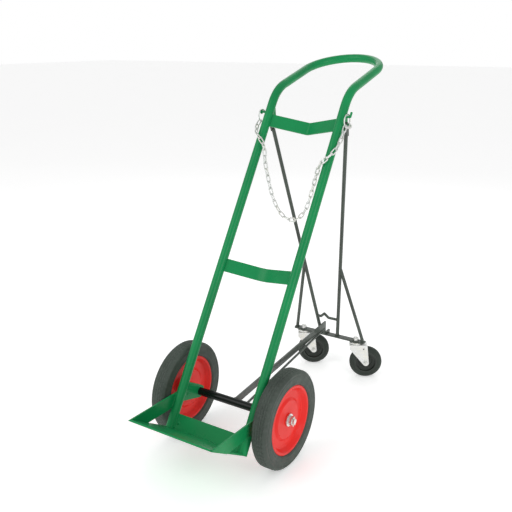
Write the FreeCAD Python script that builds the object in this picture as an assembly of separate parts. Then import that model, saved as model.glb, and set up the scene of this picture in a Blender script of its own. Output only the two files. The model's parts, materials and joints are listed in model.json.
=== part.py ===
import FreeCAD, Part
import math
import os

# Single-cylinder workshop cart: a leaning tube frame on two large wheels, with a swing-down rear
# leg on two swivel casters, a lock arm between the axle and the leg, and a restraining chain.
# All sizes are millimetres and degrees.
# The cart is drawn in its rolling stance, with X across it, +Y to the rear and Z up.
# A place on the leaning frame is given as (x, s, n): s runs up the uprights from the foot of the
# perpendicular dropped on them from the axle, and n runs square to them, forward from their centres.

Vector = FreeCAD.Vector

# ---- driving dimensions ----
# main wheels
WHEEL_DIAMETER = 300.0
TYRE_WIDTH = 50.0
TYRE_SHOULDER = 8.0
TYRE_FOOT_INSET = 4.0
TYRE_FOOT_HEIGHT = 6.0
TYRE_INNER_DIAMETER = 212.0
TRACK = 367.0
RIM_SHEET = 3.0
RIM_FLANGE_RADIUS = 106.0
RIM_BAND_RADIUS = 84.0
RIM_PLATEAU_RADIUS = 58.0
RIM_DISH = 15.0
RIM_FLANGE_WIDTH = 8.0
RIM_BAND_RUNOUT = 4.0
RIM_PLATEAU_OFFSET = 12.0
HUB_DIAMETER = 40.0
HUB_LENGTH = 50.0
HUB_OUTSTAND = 14.0
BUSH_WALL = 4.0
# leaning frame
LEAN = 32.25
TUBE_DIAMETER = 28.6
TUBE_WALL = 2.0
UPRIGHT_SPACING = 265.0
AXLE_SETBACK = 94.4
FOOT_DROP = 126.2
HANDLE_BEND_S = 967.0
HANDLE_BEND_RADIUS = 128.6
HANDLE_BEND_ANGLE = 41.8
HANDLE_STRAIGHT = 154.5
# flat bars and plates of the frame
BAR_WIDTH = 42.0
BAR_THICKNESS = 5.0
UPPER_BRACE_S = 904.0
LOWER_BRACE_S = 399.3
BRACE_DEPTH = 52.0
UPPER_BEND_RADIUS = 14.0
LOWER_BEND_RADIUS = 70.0
TOE_DEPTH = 191.0
TOE_THICKNESS = 5.0
RISER_HEIGHT = 46.0
RISER_RIVET_HEIGHT = 19.0
STRAP_TOP_S = -17.0
PLATE_THICKNESS = 6.0
GUSSET_TOP_S = 18.0
GUSSET_BOTTOM_S = -48.0
GUSSET_EYE_RADIUS = 20.0
GUSSET_RIVET_S = -18.0
GUSSET_RIVET_N = -33.0
RIVET_DIAMETER = 6.0
RIVET_HEAD = 11.0
RIVET_DOME = 0.65
# axle
AXLE_DIAMETER = 20.0
AXLE_THREAD_DIAMETER = 16.0
SLEEVE_DIAMETER = 25.4
WASHER_THICKNESS = 3.0
WASHER_DIAMETER = 38.0
NUT_HEIGHT = 11.0
NUT_FLATS = 24.0
AXLE_END = 6.5
PIN_DIAMETER = 3.2
PIN_OUTSTAND = 1.0
PIN_RING_RADIUS = 3.0
PIN_WIRE = 0.8
PIN_SPREAD = 6.0
PIN_LEG = 5.0
PIN_OVERLAP = 0.4
# rear leg
PIVOT_S = 917.0
PIVOT_N = -35.0
PIVOT_DIAMETER = 10.0
LUG_TOP_S = 985.0
LUG_BOTTOM_S = 893.0
LUG_EYE_RADIUS = 16.5
PIVOT_FLATS = 17.0
PIVOT_HEAD = 6.5
PIVOT_NUT = 10.0
PIVOT_END = 14.0
ROD_DIAMETER = 12.7
EYE_THICKNESS = 6.0
EYE_RADIUS = 12.0
EYE_LENGTH = 34.0
LEG_REACH = 199.0
CROSS_BAR_LENGTH = 294.0
CROSS_BAR_WIDTH = 25.0
CROSS_BAR_THICKNESS = 5.0
CROSS_BAR_CORNER = 4.0
MAIN_ROD_FOOT = 34.0
BRACE_ROD_DIAMETER = 12.0
BRACE_ROD_FOOT = 140.0
BRACE_ROD_START = 0.635
GUIDE_DIAMETER = 10.0
GUIDE_RISE = 77.0
GUIDE_PEAK = 15.0
GUIDE_SHOULDER = 16.0
# casters
CASTER_DIAMETER = 120.0
CASTER_WIDTH = 30.0
CASTER_CORE_DIAMETER = 84.0
CASTER_BOSS_RADIUS = 14.0
CASTER_CORE_RIM = 6.0
CASTER_CORE_WEB = 4.0
CASTER_EDGE = 1.0
CASTER_BEAD = 5.0
CASTER_SPACING = 221.0
CASTER_TRAIL = 39.0
CASTER_TURN = 60.0
CASTER_CROWN_GAP = 8.7
FORK_SHEET = 4.0
FORK_SIDE_SHEET = 3.0
FORK_EYE_RADIUS = 11.0
FORK_NOSE_DROP = 14.0
FORK_HOLE_DIAMETER = 5.0
FORK_HOLE_BACK = 29.0
FORK_HOLE_DROP = 12.0
FORK_FRONT = 22.0
FORK_REAR = 42.0
FORK_SIDE_GAP = 3.0
RACE_DIAMETER = 46.0
RACE_HEIGHT = 6.5
RACE_LIP = 3.0
KINGPIN_DIAMETER = 12.0
KINGPIN_HEAD_LIP = 4.0
KINGPIN_HEAD_HEIGHT = 5.0
KINGPIN_END = 14.0
KINGPIN_FLATS = 19.0
KINGPIN_NUT = 10.0
CASTER_AXLE_DIAMETER = 8.0
CASTER_AXLE_FLATS = 13.0
CASTER_AXLE_HEAD = 5.5
CASTER_AXLE_NUT = 6.5
CASTER_AXLE_END = 9.0
# lock arm
ARM_X = -12.0
ARM_FOOT_X = 3.0
ARM_HEIGHT = 22.0
ARM_THICKNESS = 6.0
ARM_ANGLE = 3.4
ARM_BRACE_X = 41.0
ARM_BRACE_DIAMETER = 8.0
ARM_BRACE_RISE = 20.0
HOOK_PRONG = 9.0
HOOK_DROP = 12.0
HOOK_BRIDGE = 7.0
# chain
STUD_S = 931.0
STUD_DIAMETER = 7.0
CHAIN_WIRE = 4.0
LINK_PITCH = 22.0
LINK_WIDTH = 15.0
RING_RADIUS = 20.0
RING_OFFSET = 9.0
STUD_NECK = 6.0
STUD_HEAD = 3.0
HOOK_UPTURN = 16.0
# clearances
RUNNING = 0.05
AXIAL = 0.5
FREE = 0.3
HOOK_CLEARANCE = 1.5
LINK_SLACK = 0.5

# ---- directions and places that follow from them ----
X_AXIS = Vector(1, 0, 0)
Y_AXIS = Vector(0, 1, 0)
Z_AXIS = Vector(0, 0, 1)
WHEEL_RADIUS = WHEEL_DIAMETER / 2
TUBE_RADIUS = TUBE_DIAMETER / 2
HALF_SPACING = UPRIGHT_SPACING / 2
UP = Vector(0, math.sin(math.radians(LEAN)), math.cos(math.radians(LEAN)))
FORWARD = Vector(0, -math.cos(math.radians(LEAN)), math.sin(math.radians(LEAN)))
AXLE = Vector(0, 0, WHEEL_RADIUS)
FRAME_BASE = AXLE + FORWARD * AXLE_SETBACK
FOOT_S = -FOOT_DROP
TOE_UNDERSIDE_S = FOOT_S - TOE_THICKNESS
SIDES = {"left": -1, "right": 1}


def on_frame(x, s, n):
    """Point at x across, s up the uprights and n in front of their centre plane."""
    return FRAME_BASE + X_AXIS * x + UP * s + FORWARD * n


def cylinder(start, end, radius):
    """Round bar between two points."""
    run = end - start
    return Part.makeCylinder(radius, run.Length, start, run)


def pipe(start, end, outer, inner):
    """Round tube between two points."""
    return cylinder(start, end, outer).cut(cylinder(start, end, inner))


def plate(points, thickness):
    """Flat plate: a closed outline carried along the vector thickness."""
    outline = Part.makePolygon(points + [points[0]])
    return Part.Face(outline).extrude(thickness)


def hexagon(centre, axis, flats, height):
    """Hexagonal prism from centre along axis."""
    corners = []
    across = axis.cross(Z_AXIS if abs(axis.z) < 0.9 else X_AXIS).normalize()
    other = axis.cross(across).normalize()
    radius = flats / math.sqrt(3)
    for index in range(6):
        angle = math.radians(60 * index)
        corners.append(centre + across * (radius * math.cos(angle)) + other * (radius * math.sin(angle)))
    return plate(corners, axis * height)


def group(solids):
    """Several separate solids in one node."""
    return Part.makeCompound(solids)


def clean(shape):
    """One tidy solid, with leftover seams merged."""
    return shape.removeSplitter()


# ---- leaning frame ----
def annulus(centre, axis):
    """Cross-section of the frame tube."""
    outer = Part.Wire(Part.makeCircle(TUBE_RADIUS, centre, axis))
    inner = Part.Wire(Part.makeCircle(TUBE_RADIUS - TUBE_WALL, centre, axis))
    return Part.Face([outer, inner])


def handle_direction():
    """Direction of the handle's straight part after the bend."""
    bend = math.radians(HANDLE_BEND_ANGLE)
    return UP * math.cos(bend) - FORWARD * math.sin(bend)


def handle_bend_end(x):
    """Centre of the tube where the rearward bend ends."""
    bend = math.radians(HANDLE_BEND_ANGLE)
    rise = HANDLE_BEND_RADIUS * math.sin(bend)
    back = HANDLE_BEND_RADIUS * (1 - math.cos(bend))
    return on_frame(x, HANDLE_BEND_S + rise, -back)


def frame_tube():
    """One bent tube: two uprights, a rearward bend in each, and a half-circle grip."""
    pieces = []
    along = handle_direction()
    for side in SIDES.values():
        x = side * HALF_SPACING
        foot = on_frame(x, TOE_UNDERSIDE_S, 0)
        bend_start = on_frame(x, HANDLE_BEND_S, 0)
        pieces.append(annulus(foot, UP).extrude(bend_start - foot))
        bend_centre = on_frame(x, HANDLE_BEND_S, -HANDLE_BEND_RADIUS)
        pieces.append(annulus(bend_start, UP).revolve(bend_centre, -X_AXIS, HANDLE_BEND_ANGLE))
        pieces.append(annulus(handle_bend_end(x), along).extrude(along * HANDLE_STRAIGHT))
    grip_centre = handle_bend_end(0) + along * HANDLE_STRAIGHT
    grip_start = handle_bend_end(HALF_SPACING) + along * HANDLE_STRAIGHT
    grip_axis = X_AXIS.cross(along)
    pieces.append(annulus(grip_start, along).revolve(grip_centre, grip_axis, 180))
    return clean(pieces[0].multiFuse(pieces[1:]))


def tube_blank(side):
    """Solid round space that an upright and its bend take up, for coping what butts against it."""
    x = side * HALF_SPACING
    bend_start = on_frame(x, HANDLE_BEND_S, 0)
    bend_centre = on_frame(x, HANDLE_BEND_S, -HANDLE_BEND_RADIUS)
    disc = Part.Face(Part.Wire(Part.makeCircle(TUBE_RADIUS, bend_start, UP)))
    bend = disc.revolve(bend_centre, -X_AXIS, HANDLE_BEND_ANGLE)
    return cylinder(on_frame(x, FOOT_S - BAR_WIDTH, 0), bend_start, TUBE_RADIUS).fuse(bend)


def cope(shape):
    """Cut away the space of both uprights."""
    return shape.cut(tube_blank(-1)).cut(tube_blank(1))


def brace(centre_s, bend_radius):
    """Flat bar bent back into a shallow V between the uprights."""
    slope = math.atan2(BRACE_DEPTH, HALF_SPACING)
    centre_n = bend_radius / math.cos(slope) - BRACE_DEPTH
    bottom = centre_s - BAR_WIDTH / 2
    sides = []
    for radius in (bend_radius + BAR_THICKNESS / 2, bend_radius - BAR_THICKNESS / 2):
        tangent_x = radius * math.sin(slope)
        tangent_n = centre_n - radius * math.cos(slope)
        end_n = centre_n - radius / math.cos(slope) + HALF_SPACING * math.tan(slope)
        left_end = on_frame(-HALF_SPACING, bottom, end_n)
        left = on_frame(-tangent_x, bottom, tangent_n)
        apex = on_frame(0, bottom, centre_n - radius)
        right = on_frame(tangent_x, bottom, tangent_n)
        right_end = on_frame(HALF_SPACING, bottom, end_n)
        bend = Part.Arc(left, apex, right).toShape()
        sides.append([Part.makeLine(left_end, left), bend, Part.makeLine(right, right_end)])
    back, front = sides
    ends = []
    for index, vertex in ((0, 0), (2, 1)):
        back_point = back[index].Vertexes[vertex].Point
        front_point = front[index].Vertexes[vertex].Point
        ends.append(Part.makeLine(back_point, front_point))
    outline = Part.Wire(Part.__sortEdges__(back + front + ends))
    return clean(cope(Part.Face(outline).extrude(UP * BAR_WIDTH)))


def strap_outer_x():
    """Outer face of the side straps, flush with the outer sides of the uprights."""
    return HALF_SPACING + TUBE_RADIUS


def toe_plate():
    """Flat plate that the cylinder stands on, let in between the riser, the uprights and the straps."""
    half = strap_outer_x() - BAR_THICKNESS
    rear = BAR_THICKNESS / 2
    corners = [on_frame(-half, TOE_UNDERSIDE_S, rear), on_frame(half, TOE_UNDERSIDE_S, rear),
               on_frame(half, TOE_UNDERSIDE_S, TOE_DEPTH), on_frame(-half, TOE_UNDERSIDE_S, TOE_DEPTH)]
    return clean(cope(plate(corners, UP * TOE_THICKNESS)))


def toe_riser():
    """Low back wall between the feet of the uprights."""
    low = TOE_UNDERSIDE_S
    corners = [on_frame(-HALF_SPACING, low, -BAR_THICKNESS / 2), on_frame(HALF_SPACING, low, -BAR_THICKNESS / 2),
               on_frame(HALF_SPACING, low, BAR_THICKNESS / 2), on_frame(-HALF_SPACING, low, BAR_THICKNESS / 2)]
    wall = cope(plate(corners, UP * (TOE_THICKNESS + RISER_HEIGHT)))
    for place, axis in riser_rivet_places():
        wall = wall.cut(rivet_shank(place, axis, BAR_THICKNESS))
    return clean(wall)


def toe_strap(side):
    """Flat bar on edge from the side of an upright down to the front corner of the toe plate."""
    x = side * strap_outer_x()
    low = TOE_UNDERSIDE_S
    slope = math.atan2(STRAP_TOP_S - low, TOE_DEPTH)
    lower_front_n = TOE_DEPTH - BAR_WIDTH / math.sin(slope)
    lower_rear_s = STRAP_TOP_S - BAR_WIDTH / math.cos(slope)
    outline = [on_frame(x, low, TOE_DEPTH), on_frame(x, STRAP_TOP_S, 0),
               on_frame(x, lower_rear_s, 0), on_frame(x, low, lower_front_n)]
    return clean(cope(plate(outline, X_AXIS * (-side * BAR_THICKNESS))))


def rivet_shank(place, axis, grip):
    """Space of a rivet's shank, through a sheet centred on place."""
    return cylinder(place - axis * grip, place + axis * grip, RIVET_DIAMETER / 2)


def riser_rivet_places():
    """Rivets near both ends of the toe riser."""
    x = HALF_SPACING - TUBE_RADIUS - RIVET_HEAD
    s = FOOT_S + RISER_RIVET_HEIGHT
    return [(on_frame(side * x, s, 0), FORWARD) for side in SIDES.values()]


def gusset_rivet_place(side):
    """Rivet in the web of an axle gusset."""
    return on_frame(side * HALF_SPACING, GUSSET_RIVET_S, GUSSET_RIVET_N)


def rivet(place, axis, grip):
    """Domed rivet, set through a sheet of thickness grip."""
    solid = cylinder(place - axis * (grip / 2), place + axis * (grip / 2), RIVET_DIAMETER / 2)
    for direction in (axis, -axis):
        face = place + direction * (grip / 2)
        dome_radius = RIVET_HEAD * RIVET_DOME
        sink = math.sqrt(dome_radius ** 2 - (RIVET_HEAD / 2) ** 2)
        ball = Part.makeSphere(dome_radius, face - direction * sink)
        keep = cylinder(face, face + direction * RIVET_HEAD, RIVET_HEAD / 2)
        solid = solid.fuse(ball.common(keep))
    return clean(solid)


def frame_rivets():
    """All rivets of the frame."""
    solids = [rivet(place, axis, BAR_THICKNESS) for place, axis in riser_rivet_places()]
    for side in SIDES.values():
        solids.append(rivet(gusset_rivet_place(side), X_AXIS, PLATE_THICKNESS))
    return group(solids)


def mid_plate(side, outline, eye, eye_radius, hole_radius):
    """Plate welded on the back of an upright, with a round eye and a hole in it."""
    x = side * HALF_SPACING
    start_x = x - PLATE_THICKNESS / 2
    web = plate([on_frame(start_x, s, n) for s, n in outline], X_AXIS * PLATE_THICKNESS)
    centre = on_frame(start_x, eye[0], eye[1])
    far = centre + X_AXIS * PLATE_THICKNESS
    blank = web.fuse(cylinder(centre, far, eye_radius)).cut(tube_blank(side))
    return clean(blank.cut(cylinder(centre, far, hole_radius)))


def tangent_point(point, centre, radius, turn):
    """Where a line from point touches a circle; turn is +1 or -1 for the side it touches on."""
    run_s = centre[0] - point[0]
    run_n = centre[1] - point[1]
    distance = math.hypot(run_s, run_n)
    heading = math.atan2(run_n, run_s) + turn * math.asin(radius / distance)
    reach = math.sqrt(distance ** 2 - radius ** 2)
    return (point[0] + reach * math.cos(heading), point[1] + reach * math.sin(heading))


def eye_outline(top, bottom, eye, radius):
    """Outline of a web that runs from the tube to both sides of its eye."""
    return [top, tangent_point(top, eye, radius, 1), eye, tangent_point(bottom, eye, radius, -1), bottom]


def axle_gusset(side):
    """Plate that carries the axle behind an upright."""
    eye = (0.0, -AXLE_SETBACK)
    outline = eye_outline((GUSSET_TOP_S, 0.0), (GUSSET_BOTTOM_S, 0.0), eye, GUSSET_EYE_RADIUS)
    blank = mid_plate(side, outline, eye, GUSSET_EYE_RADIUS, AXLE_DIAMETER / 2)
    return blank.cut(rivet_shank(gusset_rivet_place(side), X_AXIS, PLATE_THICKNESS))


def pivot_lug(side):
    """Plate behind the top of an upright that the rear leg hangs from."""
    eye = (PIVOT_S, PIVOT_N)
    outline = eye_outline((LUG_TOP_S, 0.0), (LUG_BOTTOM_S, 0.0), eye, LUG_EYE_RADIUS)
    return mid_plate(side, outline, eye, LUG_EYE_RADIUS, PIVOT_DIAMETER / 2)


# ---- axle and its fasteners ----
def gusset_outer_x():
    """Outer face of the axle gussets."""
    return HALF_SPACING + PLATE_THICKNESS / 2


def hub_inner_x():
    """Inner end of a wheel hub."""
    return hub_outer_x() - HUB_LENGTH


def hub_outer_x():
    """Outer end of a wheel hub."""
    return TRACK / 2 + HUB_OUTSTAND


def washer_x():
    """Inner face of the outer washer."""
    return hub_outer_x() + AXIAL


def axle_shaft():
    """Solid axle, turned down to a thread at both ends."""
    shoulder = washer_x()
    end = shoulder + WASHER_THICKNESS + NUT_HEIGHT + AXLE_END
    body = cylinder(AXLE - X_AXIS * shoulder, AXLE + X_AXIS * shoulder, AXLE_DIAMETER / 2)
    threads = cylinder(AXLE - X_AXIS * end, AXLE + X_AXIS * end, AXLE_THREAD_DIAMETER / 2)
    shaft = body.fuse(threads)
    for side in SIDES.values():
        shaft = shaft.cut(pin_space(side))
    return clean(shaft)


def pin_place(side):
    """Centre of a split pin, just outside the axle nut."""
    x = washer_x() + WASHER_THICKNESS + NUT_HEIGHT + PIN_DIAMETER
    return AXLE + X_AXIS * (side * x)


def pin_space(side):
    """Cross hole for a split pin."""
    centre = pin_place(side)
    return cylinder(centre - Z_AXIS * AXLE_DIAMETER, centre + Z_AXIS * AXLE_DIAMETER, PIN_DIAMETER / 2)


def split_pin(side):
    """Split pin with a ring head above the thread and two spread ends below it."""
    centre = pin_place(side)
    reach = AXLE_THREAD_DIAMETER / 2 + PIN_OUTSTAND
    top = centre + Z_AXIS * reach
    bottom = centre - Z_AXIS * reach
    pin = cylinder(bottom, top, PIN_DIAMETER / 2)
    wire = PIN_DIAMETER / 2 * PIN_WIRE
    pin = pin.fuse(Part.makeTorus(PIN_RING_RADIUS, wire, top + Z_AXIS * PIN_RING_RADIUS, X_AXIS))
    for spread in (-1, 1):
        tip = bottom + Vector(0, spread * PIN_SPREAD, -PIN_LEG)
        pin = pin.fuse(cylinder(bottom + Z_AXIS * PIN_OVERLAP, tip, wire))
    return clean(pin)


def axle_nut(side):
    """Hexagon nut on the axle thread."""
    face = AXLE + X_AXIS * (side * (washer_x() + WASHER_THICKNESS))
    nut = hexagon(face, X_AXIS * side, NUT_FLATS, NUT_HEIGHT)
    return nut.cut(cylinder(AXLE, AXLE + X_AXIS * (side * 2 * TRACK), AXLE_THREAD_DIAMETER / 2))


def axle_washer(side):
    """Plain washer outside a wheel hub, clamped on the axle's shoulder."""
    face = AXLE + X_AXIS * (side * washer_x())
    far = face + X_AXIS * (side * WASHER_THICKNESS)
    return pipe(face, far, WASHER_DIAMETER / 2, AXLE_THREAD_DIAMETER / 2)


def axle_spacer(side):
    """Tube that keeps a wheel hub clear of its gusset."""
    start = AXLE + X_AXIS * (side * gusset_outer_x())
    end = AXLE + X_AXIS * (side * (hub_inner_x() - AXIAL))
    return pipe(start, end, SLEEVE_DIAMETER / 2, AXLE_DIAMETER / 2)


def axle_sleeve():
    """Tube that turns on the axle between the gussets and carries the lock arm."""
    inner = HALF_SPACING - PLATE_THICKNESS / 2 - AXIAL
    bore = AXLE_DIAMETER / 2 + RUNNING
    return pipe(AXLE - X_AXIS * inner, AXLE + X_AXIS * inner, SLEEVE_DIAMETER / 2, bore)


# ---- main wheels ----
def revolved(profile, centre_x):
    """Turn a profile of (radius, offset from the wheel's middle) points about the axle."""
    points = [Vector(centre_x + offset, 0, WHEEL_RADIUS + radius) for radius, offset in profile]
    outline = Part.makePolygon(points + [points[0]])
    return Part.Face(outline).revolve(AXLE, X_AXIS, 360)


def tyre(side):
    """Solid rubber tyre with rounded shoulders and a wide foot on the rim."""
    half = TYRE_WIDTH / 2
    inner = TYRE_INNER_DIAMETER / 2
    foot_half = half - TYRE_FOOT_INSET
    side_low = inner + TYRE_FOOT_HEIGHT
    side_high = WHEEL_RADIUS - TYRE_SHOULDER
    tread_half = half - TYRE_SHOULDER
    profile = [(inner, -foot_half), (inner, foot_half), (side_low, half), (side_high, half),
               (WHEEL_RADIUS, tread_half), (WHEEL_RADIUS, -tread_half), (side_high, -half), (side_low, -half)]
    solid = revolved(profile, side * TRACK / 2)
    shoulder_edges = [edge for edge in solid.Edges if is_circle_of(edge, WHEEL_RADIUS - TYRE_SHOULDER)]
    shoulder_edges += [edge for edge in solid.Edges if is_circle_of(edge, WHEEL_RADIUS)]
    return solid.makeFillet(TYRE_SHOULDER * 0.5, shoulder_edges)


def is_circle_of(edge, radius):
    """Whether an edge is a full circle of this radius."""
    return isinstance(edge.Curve, Part.Circle) and abs(edge.Curve.Radius - radius) < 0.01


def rim_half(side, outward):
    """Pressed steel half rim: bead seat, recessed band and raised middle, from one sheet."""
    sheet = RIM_SHEET
    seat = TYRE_INNER_DIAMETER / 2
    edge = TYRE_WIDTH / 2 - TYRE_FOOT_INSET
    middle = HUB_DIAMETER / 2
    flange = RIM_FLANGE_RADIUS - RIM_FLANGE_WIDTH
    band_top = RIM_BAND_RADIUS + RIM_BAND_RUNOUT
    band_low = RIM_PLATEAU_RADIUS + RIM_FLANGE_WIDTH
    floor = edge - RIM_DISH
    face = [(seat, 0.0), (seat, edge), (flange, edge), (band_top, floor), (band_low, floor),
            (RIM_PLATEAU_RADIUS, RIM_PLATEAU_OFFSET), (middle, RIM_PLATEAU_OFFSET)]
    back = [(middle, RIM_PLATEAU_OFFSET - sheet), (RIM_PLATEAU_RADIUS - sheet / 2, RIM_PLATEAU_OFFSET - sheet),
            (band_low - sheet / 2, floor - sheet), (band_top + sheet / 2, floor - sheet),
            (flange + sheet / 2, edge - sheet), (seat - sheet, edge - sheet), (seat - sheet, 0.0)]
    direction = side * outward
    profile = [(radius, direction * offset) for radius, offset in face + back]
    return revolved(profile, side * TRACK / 2)


def wheel_hub(side):
    """Steel hub tube that both half rims are welded to."""
    start = AXLE + X_AXIS * (side * hub_inner_x())
    end = AXLE + X_AXIS * (side * hub_outer_x())
    return pipe(start, end, HUB_DIAMETER / 2, AXLE_DIAMETER / 2 + RUNNING + BUSH_WALL)


def wheel_bush(side):
    """Plain bush pressed into the hub, running on the axle."""
    start = AXLE + X_AXIS * (side * hub_inner_x())
    end = AXLE + X_AXIS * (side * hub_outer_x())
    bore = AXLE_DIAMETER / 2 + RUNNING
    return pipe(start, end, bore + BUSH_WALL, bore)


# ---- rear leg ----
PIVOT = on_frame(0, PIVOT_S, PIVOT_N)
RACE_TOP = CASTER_DIAMETER + CASTER_CROWN_GAP + FORK_SHEET + FREE + RACE_HEIGHT
BAR_TOP = RACE_TOP + CROSS_BAR_THICKNESS
BAR_CENTRE = Vector(0, PIVOT.y + LEG_REACH, RACE_TOP + CROSS_BAR_THICKNESS / 2)
EYE_X = gusset_outer_x() + FREE + EYE_THICKNESS / 2


def leg_point(x, share):
    """Point in the leg's plane, at a share of the way from the pivot down to the cross-bar."""
    return PIVOT + (BAR_CENTRE - PIVOT) * share + X_AXIS * x


def below_bar_top():
    """Everything lower than the top of the cross-bar."""
    size = 4 * CROSS_BAR_LENGTH
    corner = Vector(-size / 2, BAR_CENTRE.y - size / 2, BAR_TOP - size)
    return Part.makeBox(size, size, size, corner)


def main_rod_axis(side):
    """Ends of a main rod's centre line."""
    top = PIVOT + X_AXIS * (side * EYE_X)
    foot = leg_point(side * MAIN_ROD_FOOT, 1)
    return top, foot


def leg_main_rod(side):
    """Round rod with a flattened eye that turns on the pivot bolt."""
    top, foot = main_rod_axis(side)
    down = (BAR_CENTRE - PIVOT).normalize()
    back = X_AXIS.cross(down)
    inner = top - X_AXIS * (EYE_THICKNESS / 2)
    outline = [inner - back * EYE_RADIUS, inner + back * EYE_RADIUS,
               inner + back * (ROD_DIAMETER / 2) + down * EYE_LENGTH,
               inner - back * (ROD_DIAMETER / 2) + down * EYE_LENGTH]
    eye = plate(outline, X_AXIS * EYE_THICKNESS).fuse(
        cylinder(inner, inner + X_AXIS * EYE_THICKNESS, EYE_RADIUS))
    along = (foot - top).normalize()
    rod = cylinder(top + along * (EYE_LENGTH - ROD_DIAMETER / 2), foot, ROD_DIAMETER / 2)
    solid = eye.fuse(rod).cut(below_bar_top())
    hole_radius = PIVOT_DIAMETER / 2 + RUNNING
    return clean(solid.cut(cylinder(inner - X_AXIS, inner + X_AXIS * (EYE_THICKNESS + 1), hole_radius)))


def leg_brace_rod(side):
    """Round rod from a main rod out to the end of the cross-bar."""
    top, foot = main_rod_axis(side)
    start = top + (foot - top) * BRACE_ROD_START
    end = leg_point(side * BRACE_ROD_FOOT, 1)
    rod = cylinder(start, end, BRACE_ROD_DIAMETER / 2)
    return clean(rod.cut(cylinder(top, foot, ROD_DIAMETER / 2)).cut(below_bar_top()))


def cross_bar():
    """Flat bar across the foot of the leg, with a hole for each caster's kingpin."""
    corner = BAR_CENTRE - Vector(CROSS_BAR_LENGTH, CROSS_BAR_WIDTH, CROSS_BAR_THICKNESS) * 0.5
    bar = Part.makeBox(CROSS_BAR_LENGTH, CROSS_BAR_WIDTH, CROSS_BAR_THICKNESS, corner)
    end_edges = [edge for edge in bar.Edges if abs(edge.Length - CROSS_BAR_THICKNESS) < 0.01]
    bar = bar.makeFillet(CROSS_BAR_CORNER, end_edges)
    for side in SIDES.values():
        bar = bar.cut(kingpin_space(side))
    return bar


def kingpin_space(side):
    """Round space of a kingpin's shank."""
    centre = caster_centre(side)
    return cylinder(centre, centre + Z_AXIS * WHEEL_DIAMETER, KINGPIN_DIAMETER / 2)


def guide_strap():
    """Bent rod between the main rods, over the lock arm."""
    share = 1 - GUIDE_RISE / (BAR_CENTRE - PIVOT).Length
    peak_share = share - GUIDE_PEAK / (BAR_CENTRE - PIVOT).Length
    half = EYE_X + (MAIN_ROD_FOOT - EYE_X) * share
    points = [leg_point(-half, share), leg_point(ARM_X - GUIDE_SHOULDER, share), leg_point(ARM_X, peak_share),
              leg_point(ARM_X + GUIDE_SHOULDER, share), leg_point(half, share)]
    radius = GUIDE_DIAMETER / 2
    pieces = [cylinder(start, end, radius) for start, end in zip(points, points[1:])]
    pieces += [Part.makeSphere(radius, point) for point in points[1:-1]]
    strap = pieces[0].multiFuse(pieces[1:])
    for side in SIDES.values():
        top, foot = main_rod_axis(side)
        strap = strap.cut(cylinder(top, foot, ROD_DIAMETER / 2))
    return clean(strap)


def pivot_bolt(side):
    """Bolt through a lug and the eye of a main rod, with its head on the inner side."""
    radius = PIVOT_DIAMETER / 2
    inner = PIVOT + X_AXIS * (side * (HALF_SPACING - PLATE_THICKNESS / 2))
    end = PIVOT + X_AXIS * (side * (EYE_X + EYE_THICKNESS / 2 + FREE + PIVOT_END))
    head = hexagon(inner, X_AXIS * -side, PIVOT_FLATS, PIVOT_HEAD)
    return clean(head.fuse(cylinder(inner, end, radius)))


def pivot_nut(side):
    """Lock nut on the outer end of a pivot bolt."""
    face = PIVOT + X_AXIS * (side * (EYE_X + EYE_THICKNESS / 2 + FREE))
    nut = hexagon(face, X_AXIS * side, PIVOT_FLATS, PIVOT_NUT)
    return nut.cut(cylinder(PIVOT, PIVOT + X_AXIS * (side * TRACK), PIVOT_DIAMETER / 2))


# ---- casters ----
def caster_centre(side):
    """Foot of a caster's swivel axis, at the height of its wheel's centre."""
    return Vector(side * CASTER_SPACING / 2, BAR_CENTRE.y, CASTER_DIAMETER / 2)


def place_caster(shape, side):
    """Turn a piece drawn with its trail along +Y to its rest heading, and move it to its side."""
    placed = shape.copy()
    placed.rotate(Vector(0, 0, 0), Z_AXIS, -CASTER_TURN)
    placed.translate(caster_centre(side))
    return placed


def fork_inner_half():
    """Half the gap between the fork's sides."""
    return CASTER_WIDTH / 2 + FORK_SIDE_GAP


def caster_fork(side):
    """Pressed fork: a flat crown with two tapering sides that carry the wheel's axle."""
    half = fork_inner_half()
    under = CASTER_DIAMETER / 2 + CASTER_CROWN_GAP
    top = under + FORK_SHEET
    outer = half + FORK_SIDE_SHEET
    crown = Part.makeBox(2 * outer, FORK_FRONT + FORK_REAR, FORK_SHEET, Vector(-outer, -FORK_FRONT, under))
    solid = crown
    eye = (CASTER_TRAIL, 0.0)
    front = (-FORK_FRONT, under - FORK_NOSE_DROP)
    front_touch = tangent_point(front, eye, FORK_EYE_RADIUS, -1)
    rear_touch = tangent_point((FORK_REAR, top), eye, FORK_EYE_RADIUS, 1)
    outline = [(-FORK_FRONT, top), front, front_touch, eye, rear_touch, (FORK_REAR, top)]
    for direction in (-1, 1):
        inner_x = direction * half
        points = [Vector(inner_x, y, z) for y, z in outline]
        thickness = X_AXIS * (direction * FORK_SIDE_SHEET)
        centre = Vector(inner_x, CASTER_TRAIL, 0)
        ear = plate(points, thickness).fuse(cylinder(centre, centre + thickness, FORK_EYE_RADIUS))
        solid = solid.fuse(ear)
    hole = Part.makeCylinder(KINGPIN_DIAMETER / 2 + RUNNING, top, Vector(0, 0, 0))
    axle_start = Vector(-2 * outer, CASTER_TRAIL, 0)
    axle_hole = Part.makeCylinder(CASTER_AXLE_DIAMETER / 2, 4 * outer, axle_start, X_AXIS)
    side_hole_start = Vector(-2 * outer, FORK_HOLE_BACK, under - FORK_HOLE_DROP)
    side_holes = Part.makeCylinder(FORK_HOLE_DIAMETER / 2, 4 * outer, side_hole_start, X_AXIS)
    solid = clean(solid.cut(hole).cut(axle_hole).cut(side_holes))
    corners = [edge for edge in solid.Edges if is_crown_edge(edge, outer, top)]
    return place_caster(solid.makeFillet(FORK_SIDE_SHEET * 0.8, corners), side)


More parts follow.
